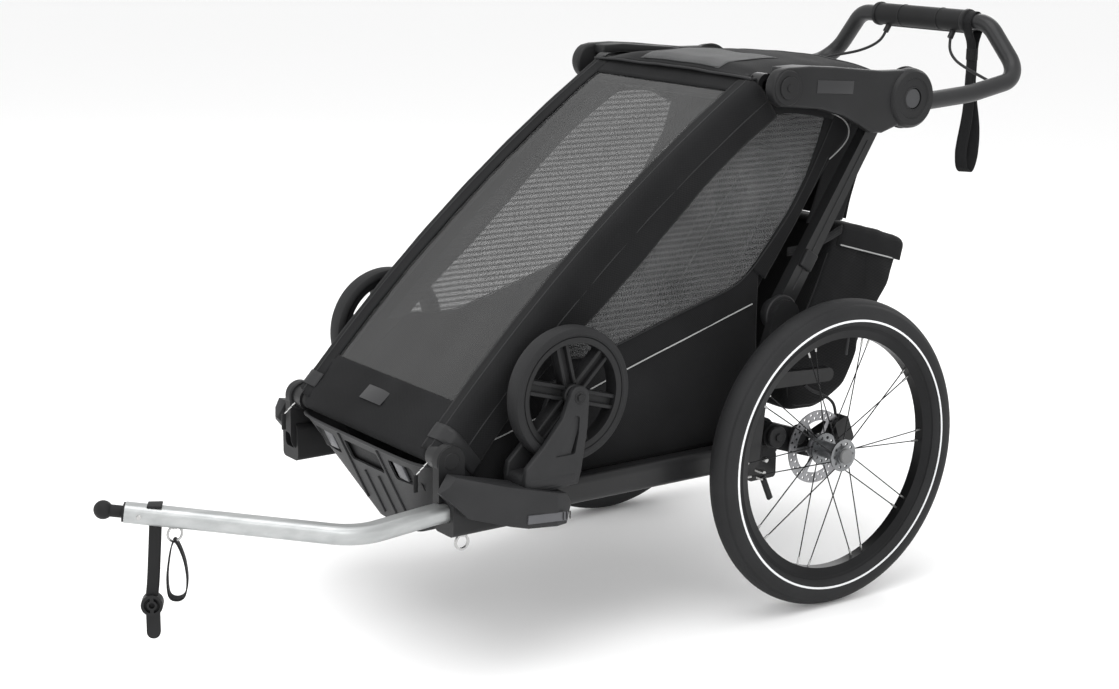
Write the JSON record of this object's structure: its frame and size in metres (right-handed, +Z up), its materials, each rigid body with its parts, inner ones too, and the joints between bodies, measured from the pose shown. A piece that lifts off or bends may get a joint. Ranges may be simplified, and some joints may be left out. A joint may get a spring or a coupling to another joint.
{
  "type": "child bicycle trailer",
  "caption": "Folding child bicycle trailer with a spring-mounted axle, pushing handlebar, side tow arm, parked stroller wheels and a rear cargo bag.",
  "frame": {"origin": "on the ground under the middle of the overall box", "axes": "+Z up, nose and tow arm towards -Y, handlebar towards +Y, the trailer's left side towards +X"},
  "size_m": [0.662, 1.6373, 0.9209],
  "materials": {
    "frame_plastic": "fine grained moulding",
    "frame_alloy": "satin powder coat",
    "bare_alloy": "brushed, clear anodised",
    "bar_coat": "satin powder coat",
    "soft_grip": "soft matt",
    "tyre_rubber": "moulded tread",
    "rim_alloy": "black anodised",
    "spoke_steel": "blackened",
    "rotor_steel": "ground",
    "cap_grey": "smooth",
    "black_fabric": "plain weave, matt",
    "grey_fabric": "plain weave, matt",
    "mesh_fabric": "fine open mesh",
    "film": "smoky clear film",
    "strap_webbing": "woven webbing",
    "retainer_rubber": "moulded",
    "reflector_red": "prismatic",
    "lower_plastic": "fine grained moulding",
    "bolt_steel": "zinc plated"
  },
  "bodies": {
    "chassis": {"side_rails": "frame_alloy", "corner_receiver_left": "frame_plastic", "corner_receiver_right": "frame_plastic", "front_crossbar": "frame_alloy", "front_bumper": "lower_plastic", "dock_left": "lower_plastic", "dock_right": "lower_plastic", "axle_beam": "frame_alloy", "rear_brackets": "frame_plastic", "floor_tray": "lower_plastic", "seat_base": "grey_fabric", "seat_back": "grey_fabric", "harness": "strap_webbing", "side_panel_left": "mesh_fabric", "side_panel_right": "mesh_fabric", "rear_panel": "black_fabric", "cargo_bag": "black_fabric", "rear_reflectors": "reflector_red", "lower_brake_cables": "soft_grip", "tow_arm": "bare_alloy", "tow_ball": "bolt_steel", "retainer_strap": "retainer_rubber", "safety_strap": "strap_webbing"},
    "front_frame": {"pillar_left": "frame_alloy", "pillar_right": "frame_alloy", "top_crossbar": "frame_alloy", "front_cover": "black_fabric", "window_film": "film"},
    "top_frame": {"top_housing_left": "frame_plastic", "top_housing_right": "frame_plastic", "canopy": "black_fabric"},
    "struts": {"rear_struts": "frame_alloy"},
    "push_bar": {"handlebar": "bar_coat", "brake_housing": "soft_grip", "brake_cables": "soft_grip", "wrist_strap": "strap_webbing"},
    "lever": {"brake_lever": "frame_plastic"},
    "lid": {"cargo_lid": "black_fabric"},
    "pin": {"hitch_pin": "bolt_steel"},
    "lock": {"quarter_turn_lock": "frame_plastic"},
    "button_left": {"release_button_left": "cap_grey"},
    "arm_left": {"suspension_arm_left": "frame_alloy"},
    "wheel_left": {"tyre_left": "tyre_rubber", "rim_left": "rim_alloy", "spokes_left": "spoke_steel", "hub_left": "bare_alloy", "brake_rotor_left": "rotor_steel"},
    "cap_left": {"wheel_release_left": "cap_grey"},
    "fork_left": {"stroller_fork_left": "lower_plastic"},
    "roller_left": {"stroller_wheel_left": "tyre_rubber"},
    "button_right": {"release_button_right": "cap_grey"},
    "arm_right": {"suspension_arm_right": "frame_alloy"},
    "wheel_right": {"tyre_right": "tyre_rubber", "rim_right": "rim_alloy", "spokes_right": "spoke_steel", "hub_right": "bare_alloy", "brake_rotor_right": "rotor_steel"},
    "cap_right": {"wheel_release_right": "cap_grey"},
    "fork_right": {"stroller_fork_right": "lower_plastic"},
    "roller_right": {"stroller_wheel_right": "tyre_rubber"}
  },
  "joints": [
    {"name": "frame_fold", "type": "hinge", "parent": "chassis", "child": "front_frame", "pos_m": [0, -0.3357, 0.328], "axis": [-1, 0, 0], "range_deg": [0, 16], "deforming": ["seat_back", "harness", "rear_panel", "side_panel_left", "side_panel_right"]},
    {"name": "top_fold", "type": "hinge", "parent": "front_frame", "child": "top_frame", "pos_m": [0, 0.2493, 0.83], "axis": [-1, 0, 0], "range_deg": [-23.8, 0]},
    {"name": "strut_fold", "type": "hinge", "parent": "chassis", "child": "struts", "pos_m": [0, 0.2703, 0.471], "axis": [-1, 0, 0], "range_deg": [0, 32.4]},
    {"name": "handlebar_angle", "type": "hinge", "parent": "top_frame", "child": "push_bar", "pos_m": [0, 0.5123, 0.8], "axis": [1, 0, 0], "range_deg": [-25, 120]},
    {"name": "brake_lever_pull", "type": "hinge", "parent": "push_bar", "child": "lever", "pos_m": [0, 0.7953, 0.902], "axis": [-1, 0, 0], "range_deg": [0, 30], "stiffness_Nm_per_rad": 1, "springref_deg": -11.46},
    {"name": "cargo_lid_hinge", "type": "hinge", "parent": "chassis", "child": "lid", "pos_m": [0, 0.4463, 0.594], "axis": [1, 0, 0], "range_deg": [0, 50]},
    {"name": "hitch_pin_pull", "type": "slide", "parent": "chassis", "child": "pin", "axis": [0, 0, -1], "range_m": [0, 0.03]},
    {"name": "hitch_lock_turn", "type": "hinge", "parent": "chassis", "child": "lock", "pos_m": [0.1248, -0.753, 0.1682], "axis": [0.8681, -0.4965, 0], "range_deg": [0, 90]},
    {"name": "release_button_left_press", "type": "slide", "parent": "top_frame", "child": "button_left", "axis": [-1, 0, 0], "range_m": [0, 0.004], "stiffness_N_per_m": 600, "springref_m": -0.004},
    {"name": "suspension_left", "type": "hinge", "parent": "chassis", "child": "arm_left", "pos_m": [0, 0.2593, 0.277], "axis": [1, 0, 0], "range_deg": [0, 12], "stiffness_Nm_per_rad": 40, "springref_deg": -22.92, "deforming": ["lower_brake_cables"]},
    {"name": "wheel_left_spin", "type": "hinge", "parent": "arm_left", "child": "wheel_left", "pos_m": [0.3, 0.3403, 0.25], "axis": [1, 0, 0], "continuous": true},
    {"name": "wheel_release_left_press", "type": "slide", "parent": "wheel_left", "child": "cap_left", "axis": [-1, 0, 0], "range_m": [0, 0.004], "stiffness_N_per_m": 400, "springref_m": -0.004},
    {"name": "stroller_fork_left_swivel", "type": "hinge", "parent": "chassis", "child": "fork_left", "pos_m": [0.258, -0.1997, 0.28], "axis": [0, 0, -1], "range_deg": [0, 12]},
    {"name": "stroller_wheel_left_spin", "type": "hinge", "parent": "fork_left", "child": "roller_left", "pos_m": [0.258, -0.1527, 0.408], "axis": [1, 0, 0], "continuous": true},
    {"name": "release_button_right_press", "type": "slide", "parent": "top_frame", "child": "button_right", "axis": [1, 0, 0], "range_m": [0, 0.004], "stiffness_N_per_m": 600, "springref_m": -0.004},
    {"name": "suspension_right", "type": "hinge", "parent": "chassis", "child": "arm_right", "pos_m": [0, 0.2593, 0.277], "axis": [1, 0, 0], "range_deg": [0, 12], "stiffness_Nm_per_rad": 40, "springref_deg": -22.92, "deforming": ["lower_brake_cables"]},
    {"name": "wheel_right_spin", "type": "hinge", "parent": "arm_right", "child": "wheel_right", "pos_m": [-0.3, 0.3403, 0.25], "axis": [1, 0, 0], "continuous": true},
    {"name": "wheel_release_right_press", "type": "slide", "parent": "wheel_right", "child": "cap_right", "axis": [1, 0, 0], "range_m": [0, 0.004], "stiffness_N_per_m": 400, "springref_m": -0.004},
    {"name": "stroller_fork_right_swivel", "type": "hinge", "parent": "chassis", "child": "fork_right", "pos_m": [-0.258, -0.1997, 0.28], "axis": [0, 0, 1], "range_deg": [0, 12]},
    {"name": "stroller_wheel_right_spin", "type": "hinge", "parent": "fork_right", "child": "roller_right", "pos_m": [-0.258, -0.1527, 0.408], "axis": [1, 0, 0], "continuous": true}
  ],
  "couplings": [
    {"joint": "top_fold", "follows": "frame_fold", "ratio": -1.48},
    {"joint": "strut_fold", "follows": "frame_fold", "ratio": 2.02}
  ]
}
